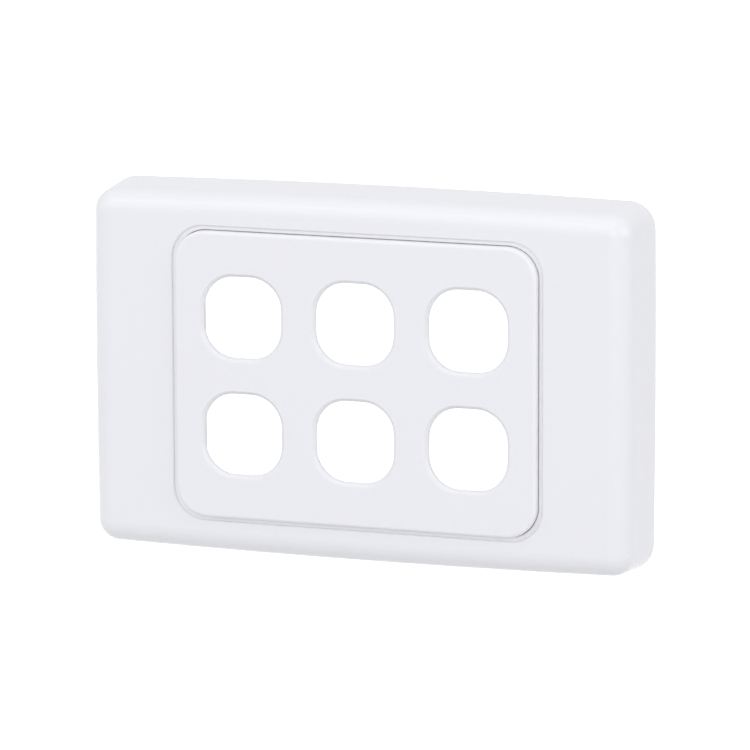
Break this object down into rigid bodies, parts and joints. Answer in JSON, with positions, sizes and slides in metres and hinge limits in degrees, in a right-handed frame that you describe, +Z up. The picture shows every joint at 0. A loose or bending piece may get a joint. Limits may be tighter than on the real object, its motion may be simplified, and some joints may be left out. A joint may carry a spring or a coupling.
{
  "type": "grid switch plate",
  "caption": "Rectangular wall plate with a clip-on bowed surround and a flush inner grid panel of rounded square apertures for clip-in switch mechanisms.",
  "frame": {"origin": "centre of the plate in the wall plane, half way between the two fixing slots", "axes": "+X across the plate to the viewer's right, +Z up, -Y out of the wall towards the viewer"},
  "size_m": [0.1154, 0.0155, 0.075],
  "materials": {
    "grid_moulding": "satin white moulded thermoplastic",
    "surround_moulding": "satin white moulded thermoplastic"
  },
  "bodies": {
    "root": {"grid_plate": "grid_moulding", "surround": "surround_moulding"}
  },
  "joints": []
}
